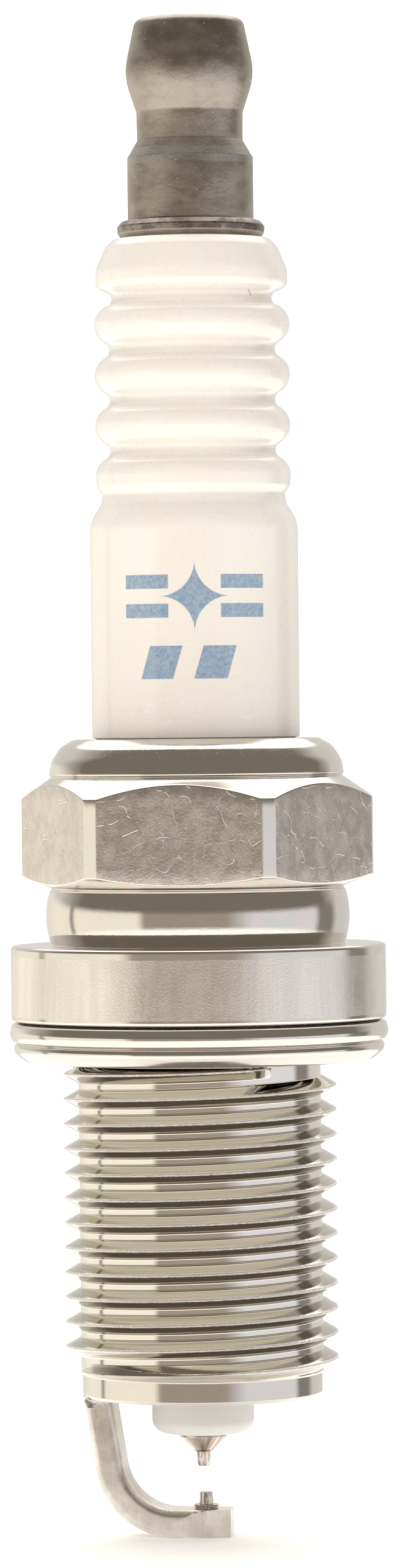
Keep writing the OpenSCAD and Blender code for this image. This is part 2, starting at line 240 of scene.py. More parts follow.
class Graph:
    """Short calls for building the nodes of one tree."""

    def __init__(self, tree):
        self.tree = tree

    def node(self, kind, **inputs):
        n = self.tree.nodes.new(kind)
        for key, value in inputs.items():
            self.plug(n.inputs[key.replace("_", " ")], value)
        return n

    def plug(self, socket, value):
        if isinstance(value, bpy.types.NodeSocket):
            self.tree.links.new(value, socket)
        else:
            socket.default_value = value

    def math(self, operation, *values):
        n = self.tree.nodes.new("ShaderNodeMath")
        n.operation = operation
        for socket, value in zip(n.inputs, values):
            self.plug(socket, value)
        return n.outputs[0]

    def vector(self, operation, a, b=None, scale=None):
        n = self.tree.nodes.new("ShaderNodeVectorMath")
        n.operation = operation
        self.plug(n.inputs[0], a)
        if b is not None:
            self.plug(n.inputs[1], b)
        if scale is not None:
            n.inputs["Scale"].default_value = scale
        return n.outputs[0]

    def span(self, value, a, b, to_a=0.0, to_b=1.0, smooth=True):
        """value mapped from a..b to to_a..to_b, clamped."""
        n = self.node("ShaderNodeMapRange")
        n.interpolation_type = "SMOOTHSTEP" if smooth else "LINEAR"
        for socket, v in zip(list(n.inputs)[:5], (value, a, b, to_a, to_b)):
            self.plug(socket, v)
        return n.outputs[0]

    def band(self, value, a, b, soft):
        """1 between a and b, fading to 0 over soft outside them."""
        up = self.span(value, a - soft, a)
        down = self.span(value, b, b + soft, 1.0, 0.0)
        return self.math("MULTIPLY", up, down)

    def mix(self, factor, a, b):
        n = self.tree.nodes.new("ShaderNodeMix")
        n.data_type = "RGBA"
        self.plug(n.inputs["Factor"], factor)
        self.plug(n.inputs[6], (*a, 1) if isinstance(a, tuple) else a)
        self.plug(n.inputs[7], (*b, 1) if isinstance(b, tuple) else b)
        return n.outputs[2]

    def ramp(self, factor, tones):
        """A colour ramp over a turn, from (azimuth in degrees, colour) pairs."""
        n = self.node("ShaderNodeValToRGB", Fac=factor)
        elements = n.color_ramp.elements
        while len(elements) < len(tones):
            elements.new(0.5)
        for element, (angle, colour) in zip(elements, tones):
            element.position = (angle + 180) / 360
            element.color = (*colour, 1)
        return n.outputs["Color"]


class Surface(Graph):
    """One material: its tree, its shader and the object's own coordinates in millimetres."""

    def __init__(self, name):
        self.material = bpy.data.materials.new(name)
        self.material.use_nodes = True
        super().__init__(self.material.node_tree)
        self.shader = self.tree.nodes["Principled BSDF"]
        self.mm = self.vector("SCALE", self.node("ShaderNodeTexCoord").outputs["Object"], scale=1 / MM)
        parts = self.node("ShaderNodeSeparateXYZ", Vector=self.mm)
        self.x, self.y, self.z = parts.outputs

    def stretched(self, sx, sy, sz):
        """Millimetre coordinates scaled by a factor on each axis."""
        return self.vector("MULTIPLY", self.mm, (sx, sy, sz))

    def noise(self, scale, detail=2.0, rough=0.5, vector=None):
        return self.node(
            "ShaderNodeTexNoise", Vector=vector or self.mm, Scale=scale, Detail=detail,
            Roughness=rough).outputs["Fac"]

    def cells(self, scale):
        return self.node("ShaderNodeTexVoronoi", Vector=self.mm, Scale=scale).outputs["Distance"]

    def front_only(self):
        """1 on the side that faces -Y, 0 on the far side."""
        return self.span(self.y, -1.0, -0.5, 1.0, 0.0)

    def bump(self, height, distance, normal=None):
        """A bump of the given depth in millimetres."""
        n = self.node("ShaderNodeBump", Height=height)
        n.inputs["Strength"].default_value = 1.0
        n.inputs["Distance"].default_value = distance * MM
        if normal is not None:
            self.plug(n.inputs["Normal"], normal)
        return n.outputs[0]

    def finish(self, **sockets):
        for key, value in sockets.items():
            value = (*value, 1) if isinstance(value, tuple) and len(value) == 3 else value
            self.plug(self.shader.inputs[key.replace("_", " ")], value)
        return self.material


# ---------- Materials ----------

NICKEL = (0.74, 0.705, 0.655)


def plated(name, rough, rough_spread, grain=(9, 9, 9), grain_depth=0.0015, speckle=0.5):
    """Bright plate: faint green and pink clouds, fine grain and tiny dull specks."""
    g = Surface(name)
    cloud = g.noise(0.35, 3, 0.6)
    hue = g.noise(0.8, 2, 0.5, vector=g.stretched(1, 1, 2.2))
    colour = g.mix(g.span(hue, 0.38, 0.62), (0.72, 0.73, 0.67), (0.79, 0.72, 0.68))
    colour = g.mix(g.span(cloud, 0.3, 0.7, 0.25, 0.8), NICKEL, colour)
    specks = g.span(g.cells(5.5), 0.05, 0.11, 1.0, 0.0)
    chosen = g.span(g.noise(1.9, 1), 0.5, 0.62)
    spot = g.math("MULTIPLY", g.math("MULTIPLY", specks, chosen), speckle)
    colour = g.mix(spot, colour, (0.5, 0.46, 0.42))
    fine = g.noise(1.0, 4, 0.62, vector=g.stretched(*grain))
    broad = g.noise(1.3, 3, 0.6)
    rough_map = g.span(g.math("ADD", g.math("MULTIPLY", broad, 0.6), g.math("MULTIPLY", fine, 0.4)),
                       0.35, 0.65, rough - rough_spread, rough + rough_spread)
    rough_map = g.math("ADD", rough_map, g.math("MULTIPLY", spot, 0.25))
    normal = g.bump(fine, grain_depth)
    normal = g.bump(specks, -0.002 * speckle, normal)
    return g.finish(Base_Color=colour, Metallic=1.0, Roughness=rough_map, Normal=normal)


def hex_plate():
    """Tumbled hexagon faces: matte and pitted, with short scratches and a brown cast."""
    g = Surface("plate_hex_faces")
    pits = g.noise(9, 4, 0.7)
    grit = g.cells(7.5)
    mottle = g.noise(1.1, 4, 0.65)
    colour = g.mix(g.span(mottle, 0.32, 0.68), (0.60, 0.545, 0.51), (0.76, 0.70, 0.65))
    colour = g.mix(g.span(pits, 0.56, 0.72, 0.0, 0.6), colour, (0.86, 0.82, 0.77))
    colour = g.mix(g.span(pits, 0.28, 0.42, 0.55, 0.0), colour, (0.33, 0.30, 0.28))
    scratches = scratch_lines(g, 0.5)
    colour = g.mix(g.math("MULTIPLY", scratches, 0.6), colour, (0.9, 0.88, 0.85))
    rough = g.span(mottle, 0.3, 0.7, 0.24, 0.34)
    normal = g.bump(pits, 0.012)
    normal = g.bump(grit, 0.003, normal)
    normal = g.bump(scratches, -0.012, normal)
    return g.finish(Base_Color=colour, Metallic=1.0, Roughness=rough, Normal=normal)


def scratch_lines(g, threshold):
    """Thin curved lines here and there, as a mask; a higher threshold leaves fewer of them."""
    total = None
    for turn, offset in ((0.5, 3.1), (1.9, 7.7)):
        spun = g.node("ShaderNodeVectorRotate", Vector=g.mm, Angle=turn, Axis=(0.3, 1.0, 0.2)).outputs[0]
        spun = g.vector("ADD", spun, (offset, offset * 2, offset * 3))
        warp = g.noise(0.5, 1, vector=spun)
        along = g.node("ShaderNodeSeparateXYZ", Vector=spun).outputs[0]
        wave = g.math("FRACT", g.math("ADD", g.math("MULTIPLY", along, 0.85), g.math("MULTIPLY", warp, 2.6)))
        line = g.span(g.math("ABSOLUTE", g.math("SUBTRACT", wave, 0.5)), 0.0, 0.02, 1.0, 0.0)
        patch = g.span(g.noise(1.6, 1, vector=spun), threshold, threshold + 0.04)
        line = g.math("MULTIPLY", line, patch)
        total = line if total is None else g.math("MAXIMUM", total, line)
    return total


def turned_ring():
    """The flange's turned rim: satin, with soft upright streaks and a fine sparkle."""
    g = Surface("plate_ring")
    streak = g.noise(1.0, 4, 0.6, vector=g.stretched(1.6, 1.6, 0.12))
    sparkle = g.noise(12, 3, 0.7)
    cloud = g.noise(0.7, 3, 0.6)
    colour = g.mix(g.span(streak, 0.3, 0.7), (0.80, 0.76, 0.71), (0.90, 0.84, 0.79))
    colour = g.mix(g.span(cloud, 0.45, 0.75, 0.0, 0.5), colour, (0.80, 0.82, 0.74))
    colour = g.mix(g.span(sparkle, 0.6, 0.78, 0.0, 0.7), colour, (0.93, 0.9, 0.86))
    colour = g.mix(g.math("MULTIPLY", scratch_lines(g, 0.62), 0.5), colour, (0.9, 0.88, 0.84))
    rough = g.span(cloud, 0.3, 0.7, 0.2, 0.28)
    normal = g.bump(sparkle, 0.01)
    normal = g.bump(streak, 0.003, normal)
    return g.finish(Base_Color=colour, Metallic=1.0, Roughness=rough, Normal=normal)


def thread_plate():
    """Rolled thread: bright, with fine rolling lines along the helix, painted shade on the flanks and crests
    painted near-white as a highlight, with worn chips.
    """
    g = Surface("plate_thread")
    radius = g.math("SQRT", g.math("ADD", g.math("POWER", g.x, 2.0), g.math("POWER", g.y, 2.0)))
    turn = g.math("DIVIDE", g.math("ARCTAN2", g.y, g.x), 2 * math.pi)
    lead = g.math("ADD", g.z, g.math("MULTIPLY", turn, -PITCH))
    lines_per_mm = 14.0
    rolled = g.node(
        "ShaderNodeCombineXYZ", X=g.math("MULTIPLY", radius, lines_per_mm),
        Y=g.math("MULTIPLY", lead, lines_per_mm),
        Z=g.math("SINE", g.math("MULTIPLY", turn, 2 * math.pi))).outputs[0]
    lines = g.noise(1.0, 3, 0.6, vector=rolled)
    hue = g.noise(0.45, 2, 0.5)
    colour = g.mix(g.span(hue, 0.36, 0.64), (0.80, 0.79, 0.73), (0.83, 0.78, 0.74))
    # painted shade: the flanks are darkened towards a brown grey, a little less where the rolling lines are
    # high
    painted_flank_shade = g.band(radius, ROOT_R + 0.07, THREAD_R - 0.12, 0.03)
    colour = g.mix(g.math("MULTIPLY", painted_flank_shade, g.span(lines, 0.25, 0.6, 1.0, 0.6)), colour, (0.47, 0.44, 0.37))
    crest = g.span(radius, THREAD_R - 0.1, THREAD_R - 0.02)
    crest_chips_and_highlight = g.span(g.noise(7, 4, 0.75), 0.45, 0.6)
    # painted highlight: the crests are mixed at least halfway to near-white all round, fully where this noise
    # is high; the dark chips below and the bump are real wear
    colour = g.mix(g.math("MULTIPLY", crest, g.span(crest_chips_and_highlight, 0.0, 0.5, 0.5, 1.0)), colour, (0.97, 0.96, 0.94))
    colour = g.mix(g.math("MULTIPLY", crest, g.span(crest_chips_and_highlight, 0.0, 0.3, 0.2, 0.0)), colour, (0.42, 0.38, 0.35))
    rough = g.math("ADD", g.span(lines, 0.3, 0.7, 0.02, 0.05), g.math("MULTIPLY", crest, 0.34))
    normal = g.bump(lines, 0.0008)
    normal = g.bump(g.math("MULTIPLY", crest_chips_and_highlight, crest), 0.02, normal)
    return g.finish(Base_Color=colour, Metallic=1.0, Roughness=rough, Normal=normal)


def print_mask(g):
    """A generic blue mark: a four-pointed spark between stacked bars, over two slanted bars."""
    across = g.math("MULTIPLY", g.math("ARCTAN2", g.x, g.math("MULTIPLY", g.y, -1.0)), BARREL_R)
    mark_z = 21.3
    up = g.math("SUBTRACT", g.z, mark_z)
    side = g.math("ABSOLUTE", across)
    # a star is where |x|^arm + |z|^arm stays under 1, in units of its radius
    star_r = 1.75
    arm = 0.58
    reach = g.math("ADD", g.math("POWER", g.math("DIVIDE", side, star_r), arm),
                   g.math("POWER", g.math("DIVIDE", g.math("ABSOLUTE", up), star_r), arm))
    star = g.span(reach, 0.97, 1.03, 1.0, 0.0)

    def bar(x0, x1, z0, z1, lean=0.0):
        shifted = g.math("SUBTRACT", across, g.math("MULTIPLY", up, lean))
        return g.math("MULTIPLY", g.band(shifted, x0, x1, 0.05), g.band(up, z0, z1, 0.05))

    parts = [star]
    for z0, z1, inner, outer in ((0.4, 1.05, 1.35, 3.7), (-1.05, -0.4, 1.35, 3.7)):
        parts += [bar(inner, outer, z0, z1), bar(-outer, -inner, z0, z1)]
    parts += [bar(-1.55, 0.1, -4.1, -2.5, 0.3), bar(1.2, 2.85, -4.1, -2.5, 0.3)]
    total = parts[0]
    for p in parts[1:]:
        total = g.math("MAXIMUM", total, p)
    return g.math("MULTIPLY", total, g.front_only())


def ceramic(glazed=True):
    """White alumina with a warm cast and painted shade towards the shell's lip; glazed outside, matte and
    purer white at the nose.
    """
    g = Surface("ceramic_glazed" if glazed else "ceramic_bare")
    warm = g.noise(0.22, 2, 0.5)
    if not glazed:
        colour = g.mix(g.span(warm, 0.3, 0.7), (0.93, 0.925, 0.91), (0.95, 0.945, 0.935))
        grain = g.noise(14, 3, 0.6)
        return g.finish(Base_Color=colour, Roughness=g.span(grain, 0.3, 0.7, 0.5, 0.62),
                        Normal=g.bump(grain, 0.004), Subsurface_Weight=0.2, Subsurface_Scale=0.0006)
    colour = g.mix(g.span(warm, 0.3, 0.7), (0.95, 0.90, 0.835), (0.965, 0.93, 0.875))
    # painted shade: the glazed barrel darkens towards the shell's lip, fading out 9 mm above it
    painted_shade_near_lip = g.span(g.z, LIP_TOP, LIP_TOP + 9, 1.0, 0.0)
    colour = g.mix(g.math("MULTIPLY", painted_shade_near_lip, 0.45), colour, (0.80, 0.745, 0.70))
    smear_field = g.noise(1.0, 4, 0.65, vector=g.stretched(1.5, 1.5, 2.4))
    places = g.math("MAXIMUM", g.band(g.x, -3.4, -0.6, 0.3), g.band(g.x, 2.3, 3.3, 0.2))
    near_lip = g.band(g.z, LIP_TOP + 0.9, LIP_TOP + 1.7, 0.5)
    smear = g.math("MULTIPLY", g.span(smear_field, 0.53, 0.63), near_lip)
    smear = g.math("MULTIPLY", smear, places)
    colour = g.mix(g.math("MULTIPLY", smear, 0.55), colour, (0.97, 0.955, 0.93))
    specks = g.span(g.cells(1.15), 0.03, 0.045, 1.0, 0.0)
    specks = g.math("MULTIPLY", specks, g.span(g.noise(0.9, 0), 0.66, 0.7))
    colour = g.mix(g.math("MULTIPLY", specks, 0.5), colour, (0.52, 0.47, 0.43))
    hair = hair_mark(g)
    colour = g.mix(g.math("MULTIPLY", hair, 0.7), colour, (0.3, 0.27, 0.25))
    ink = print_mask(g)
    worn = g.span(g.noise(6, 4, 0.7), 0.2, 0.75, 0.62, 1.0)
    blue = g.mix(g.noise(2.5, 3, 0.6), (0.165, 0.30, 0.475), (0.215, 0.355, 0.53))
    colour = g.mix(g.math("MULTIPLY", ink, worn), colour, blue)
    orange_peel = g.noise(1.6, 2, 0.5)
    rough = g.math("ADD", g.span(g.noise(3, 3, 0.6), 0.3, 0.7, 0.26, 0.34), g.math("MULTIPLY", smear, 0.2))
    normal = g.bump(orange_peel, 0.012)
    normal = g.bump(ink, 0.006, normal)
    return g.finish(
        Base_Color=colour, Roughness=rough, Normal=normal, Coat_Weight=1.0, Coat_Roughness=0.06,
        Coat_IOR=1.5, Coat_Normal=g.bump(orange_peel, 0.006), Subsurface_Weight=0.12, Subsurface_Scale=0.0006)


def hair_mark(g):
    """One short dark scratch in the top groove."""
    u = g.math("SUBTRACT", g.x, 2.92)
    v = g.math("SUBTRACT", g.z, 36.5)
    along = g.math("ADD", g.math("MULTIPLY", u, -0.45), g.math("MULTIPLY", v, 0.89))
    over = g.math("ADD", g.math("MULTIPLY", u, 0.89), g.math("MULTIPLY", v, 0.45))
    thin = g.span(g.math("ABSOLUTE", over), 0.015, 0.045, 1.0, 0.0)
    short = g.span(g.math("ABSOLUTE", along), 0.1, 0.22, 1.0, 0.0)
    return g.math("MULTIPLY", g.math("MULTIPLY", thin, short), g.front_only())


def terminal_metal():
    """Dark handled steel: brown-grey cloudy film, rubbed satin patches, a painted highlight band under the
    head's bulge and pale dust.
    """
    g = Surface("terminal_steel")
    cloud = g.noise(0.55, 4, 0.62, vector=g.stretched(1, 1, 1.7))
    rub = g.noise(0.8, 4, 0.65, vector=g.vector("ADD", g.stretched(1, 1, 1.5), (7.0, 3.0, 5.0)))
    colour = g.mix(g.span(cloud, 0.34, 0.66), (0.31, 0.275, 0.235), (0.46, 0.415, 0.355))
    # painted highlight: a lighter band on the lower half of the head's bulge, broken up by the rubbed patches
    painted_highlight_band = g.band(g.z, TERMINAL_TOP - 5.0, TERMINAL_TOP - 3.3, 0.35)
    cone = g.band(g.z, TERMINAL_TOP - 7.45, TERMINAL_TOP - 6.7, 0.06)
    edge = g.band(g.z, INSULATOR_TOP + 0.35, INSULATOR_TOP + 0.85, 0.1)
    colour = g.mix(g.math("MULTIPLY", painted_highlight_band, g.span(rub, 0.36, 0.62, 0.1, 0.75)), colour, (0.42, 0.375, 0.325))
    colour = g.mix(g.math("MULTIPLY", cone, 0.7), colour, (0.42, 0.42, 0.39))
    colour = g.mix(g.math("MULTIPLY", edge, g.span(rub, 0.42, 0.6, 0.2, 0.9)), colour, (0.13, 0.10, 0.09))
    colour = g.mix(g.span(rub, 0.56, 0.72, 0.0, 0.6), colour, (0.44, 0.39, 0.33))
    dust = g.span(g.cells(3.1), 0.06, 0.12, 1.0, 0.0)
    dust = g.math("MULTIPLY", dust, g.span(g.noise(2.2, 2), 0.5, 0.6))
    fine_dust = g.span(g.noise(11, 3, 0.7), 0.62, 0.74)
    colour = g.mix(g.math("MULTIPLY", dust, 0.75), colour, (0.72, 0.68, 0.6))
    colour = g.mix(g.math("MULTIPLY", fine_dust, 0.35), colour, (0.66, 0.62, 0.55))
    rough = g.math("SUBTRACT", g.span(cloud, 0.3, 0.7, 0.32, 0.42), g.math("MULTIPLY", painted_highlight_band, 0.06))
    grain = g.noise(6, 4, 0.65)
    normal = g.bump(grain, 0.012)
    normal = g.bump(dust, 0.01, normal)
    return g.finish(Base_Color=colour, Metallic=1.0, Roughness=rough, Normal=normal)


def bar_metal():
    """Drawn nickel alloy, satin beige, with draw lines along Z and small nicks."""
    g = Surface("nickel_alloy")
    lines = g.noise(1.0, 3, 0.6, vector=g.stretched(11, 11, 1.2))
    cloud = g.noise(1.1, 3, 0.6)
    colour = g.mix(g.span(cloud, 0.35, 0.65), (0.74, 0.69, 0.63), (0.86, 0.81, 0.755))
    colour = g.mix(g.span(lines, 0.55, 0.75, 0.0, 0.45), colour, (0.84, 0.8, 0.75))
    nicks = g.span(g.cells(2.6), 0.05, 0.1, 1.0, 0.0)
    colour = g.mix(g.math("MULTIPLY", nicks, 0.5), colour, (0.42, 0.37, 0.33))
    rough = g.span(lines, 0.3, 0.7, 0.27, 0.4)
    normal = g.bump(lines, 0.01)
    normal = g.bump(g.noise(7, 3, 0.6), 0.006, normal)
    return g.finish(Base_Color=colour, Metallic=1.0, Roughness=rough, Normal=normal)


def weld_metal():
    """Bright rough weld at the root of the ground electrode, with burnt specks."""
    g = Surface("weld_bead")
    lumps = g.noise(4, 4, 0.7)
    colour = g.mix(g.span(lumps, 0.35, 0.6), (0.62, 0.57, 0.53), (0.88, 0.85, 0.82))
    burnt = g.math("MULTIPLY", g.span(g.noise(2.2, 3, 0.6), 0.5, 0.6), g.span(g.x, -5.6, -5.2, 1.0, 0.0))
    colour = g.mix(g.math("MULTIPLY", burnt, 0.85), colour, (0.14, 0.11, 0.1))
    normal = g.bump(lumps, 0.05)
    rough = g.span(lumps, 0.3, 0.7, 0.2, 0.34)
    return g.finish(Base_Color=colour, Metallic=1.0, Roughness=rough, Normal=normal)


def pin_metal():
    """Fine wire tips: bright, a little brown, with upright streaks."""
    g = Surface("precious_alloy")
    streak = g.noise(1.0, 3, 0.6, vector=g.stretched(9, 9, 2.5))
    colour = g.mix(g.span(streak, 0.38, 0.62), (0.44, 0.385, 0.33), (0.82, 0.78, 0.72))
    normal = g.bump(streak, 0.01)
    rough = g.span(streak, 0.3, 0.7, 0.18, 0.32)
    return g.finish(Base_Color=colour, Metallic=1.0, Roughness=rough, Normal=normal)


def cone_metal():
    """Ground cone of the centre electrode: rosy, with bright streaks and a dark weld line."""
    g = Surface("centre_cone")
    spin = g.math("ARCTAN2", g.y, g.x)
    rays = g.noise(1.0, 2, 0.5, vector=g.node(
        "ShaderNodeCombineXYZ", X=g.math("MULTIPLY", g.math("COSINE", spin), 2.6),
        Y=g.math("MULTIPLY", g.math("SINE", spin), 2.6), Z=g.math("MULTIPLY", g.z, 0.4)).outputs[0])
    colour = g.mix(g.span(rays, 0.38, 0.62), (0.50, 0.40, 0.34), (0.92, 0.80, 0.74))
    rim = g.span(g.z, NOSE_TIP - 0.22, NOSE_TIP - 0.14)
    colour = g.mix(g.math("MULTIPLY", rim, 0.6), colour, (0.42, 0.40, 0.38))
    tip = high("centre_tip")
    weld = g.span(g.z, tip + 0.04, tip + 0.11, 1.0, 0.0)
    colour = g.mix(g.math("MULTIPLY", weld, 0.8), colour, (0.2, 0.16, 0.13))
    grain = g.noise(9, 3, 0.6)
    return g.finish(Base_Color=colour, Metallic=1.0, Roughness=g.span(rays, 0.3, 0.7, 0.2, 0.3),
                    Normal=g.bump(grain, 0.006))


def plain_inner(name, dark, light, metallic, rough, grain_scale, depth):
    """Material of a hidden piece: two tones, a grain and its bump."""
    g = Surface(name)
    grain = g.noise(grain_scale, 4, 0.65)
    colour = g.mix(g.span(grain, 0.32, 0.68), dark, light)
    rough_map = g.span(grain, 0.3, 0.7, rough - 0.07, rough + 0.07)
    return g.finish(Base_Color=colour, Metallic=metallic, Roughness=rough_map, Normal=g.bump(grain, depth))


def floor_paper():
    """Pale matte paper with a faint glow, so that it stays white."""
    g = Surface("pale_floor")
    fibre = g.noise(0.8, 4, 0.6)
    colour = g.mix(g.span(fibre, 0.3, 0.7), (0.90, 0.895, 0.885), (0.92, 0.915, 0.905))
    return g.finish(Base_Color=colour, Roughness=0.9, Normal=g.bump(fibre, 0.01),
                    Emission_Color=(1.0, 0.99, 0.97), Emission_Strength=0.3)


# ---------- Shell ----------

def shell_angles():
    """Angles of the shell's rings: close pairs at each turned corner, even steps across each flat."""
    edge = 0.3
    flat_steps = 26
    angles = []
    for side in range(6):
        corner = HEX_TURN + 60 * side
        angles += [corner + HALF_CORNER * f for f in (-1, -0.6, -0.2, 0.2, 0.6, 1)]
        start = corner + HALF_CORNER + edge
        end = corner + 60 - HALF_CORNER - edge
        angles += [start + (end - start) * i / flat_steps for i in range(flat_steps + 1)]
    return angles


def hex_radius(angle):
    """Radius of the hexagon with its corners turned off."""
    from_flat = (angle - HEX_TURN) % 60 - 30
    return min(HEX_AF / 2 / math.cos(math.radians(from_flat)), HEX_CORNER_R)


def flat_or_corner(angle):
    """Material of the hexagon's side that starts at this angle: turned corners are bright, flats are not."""
    from_corner = (angle + 0.01 - HEX_TURN + 30) % 60 - 30
    return CONE if abs(from_corner) < HALF_CORNER else FLATS


def top_cone_z(r):
    return HEX_TOP + (HEX_FULL_TOP - HEX_TOP) * (r - COLLAR_R) / (HEX_CORNER_R - COLLAR_R)


def low_cone_z(r):
    return HEX_LOW + (HEX_FULL_LOW - HEX_LOW) * (r - COLLAR_R) / (HEX_CORNER_R - COLLAR_R)


LIP, CONE, FLATS, WAIST, RING, THREAD, PILOT, BORE = range(8)


def hexagon_rings(rings, last):
    """The cones, rounded edges and flats of the hexagon; gives its last ring."""
    edge = 0.05
    for share in (0.35, 0.7, 0.93):
        def r_at(a, s=share):
            return COLLAR_R + (hex_radius(a) - edge - COLLAR_R) * s
        here = rings.ring(r_at, lambda a, r_at=r_at: top_cone_z(r_at(a)))
        rings.join(last, here, CONE)
        last = here
    steps = [
        (lambda a: hex_radius(a) - edge, lambda a: top_cone_z(hex_radius(a) - edge), CONE),
        (lambda a: hex_radius(a) - edge * 0.2, lambda a: top_cone_z(hex_radius(a)) - edge * 0.15, CONE),
        (lambda a: hex_radius(a), lambda a: top_cone_z(hex_radius(a)) - edge, CONE),
    ]
    for share in (0.15, 0.4, 0.6, 0.85):
        steps.append((hex_radius, lambda a, s=share: top_cone_z(hex_radius(a)) * (1 - s)
                      + low_cone_z(hex_radius(a)) * s, flat_or_corner))
    steps += [
        (lambda a: hex_radius(a), lambda a: low_cone_z(hex_radius(a)) + edge, flat_or_corner),
        (lambda a: hex_radius(a) - edge * 0.2, lambda a: low_cone_z(hex_radius(a)) + edge * 0.15, CONE),
        (lambda a: hex_radius(a) - edge, lambda a: low_cone_z(hex_radius(a) - edge), CONE),
    ]
    for r, z, region in steps:
        here = rings.ring(r, z)
        rings.join(last, here, region)
        last = here
    return last


def ridge_profile():
    """Share of the ridge's depth against height from its crest, over one pitch, as (height, share) pairs.

    A flat root with small corner arcs meets straight 60 degree flanks and a narrow crest.
    """
    corner_r = 0.07
    depth = THREAD_R - ROOT_R
    crest_half = 0.03
    root_half = PITCH / 2 - crest_half - depth * math.tan(math.radians(30))
    flat_half = root_half - corner_r * math.tan(math.radians(30))
    points = [(PITCH / 2, 0.0), (PITCH / 2 - flat_half * 0.5, 0.0)]
    for i in range(5):
        a = math.radians(15 * i)
        points.append((PITCH / 2 - flat_half - corner_r * math.sin(a), corner_r * (1 - math.cos(a)) / depth))
    flank_top = (depth - 0.025) / depth
    points += [(crest_half + 0.014, flank_top), (crest_half * 0.6, 0.995), (0.0, 1.0)]
    return points + [(-h, share) for h, share in reversed(points[1:-1])]


def thread_strip(rings, top_z, low_z):
    """A sheared grid that follows the right-handed helix, cut off flat at both ends."""
    profile = ridge_profile()
    turns = (RIDGE_TOP - RIDGE_LOW) / PITCH
    first = math.floor((RIDGE_TOP - top_z) / PITCH) - 2
    count = math.ceil((top_z - low_z) / PITCH) + 4
    angles = rings.angles + [rings.angles[0] + 360]
    columns = []
    for a in angles:
        drop = (RIDGE_START - a) / 360
        column = []
        for n in range(first, first + count):
            for height, share in profile:
                turn = drop + n
                z = RIDGE_TOP - PITCH * turn + height
                swell = max(0.0, min(1.0, turn / RUN_IN, (turns - turn) / RUN_OUT))
                z = min(top_z, max(low_z, z))
                r = ROOT_R + share * swell * (THREAD_R - ROOT_R)
                column.append((r * math.cos(math.radians(a)), r * math.sin(math.radians(a)), z))
        columns.append(column)
    start = len(rings.verts)
    rows = len(columns[0])
    for column in columns:
        rings.verts += column
    for k in range(len(angles) - 1):
        for j in range(rows - 1):
            a, b = start + k * rows + j, start + (k + 1) * rows + j
            rings.faces.append((a, b, b + 1, a + 1))
            rings.regions.append(THREAD)


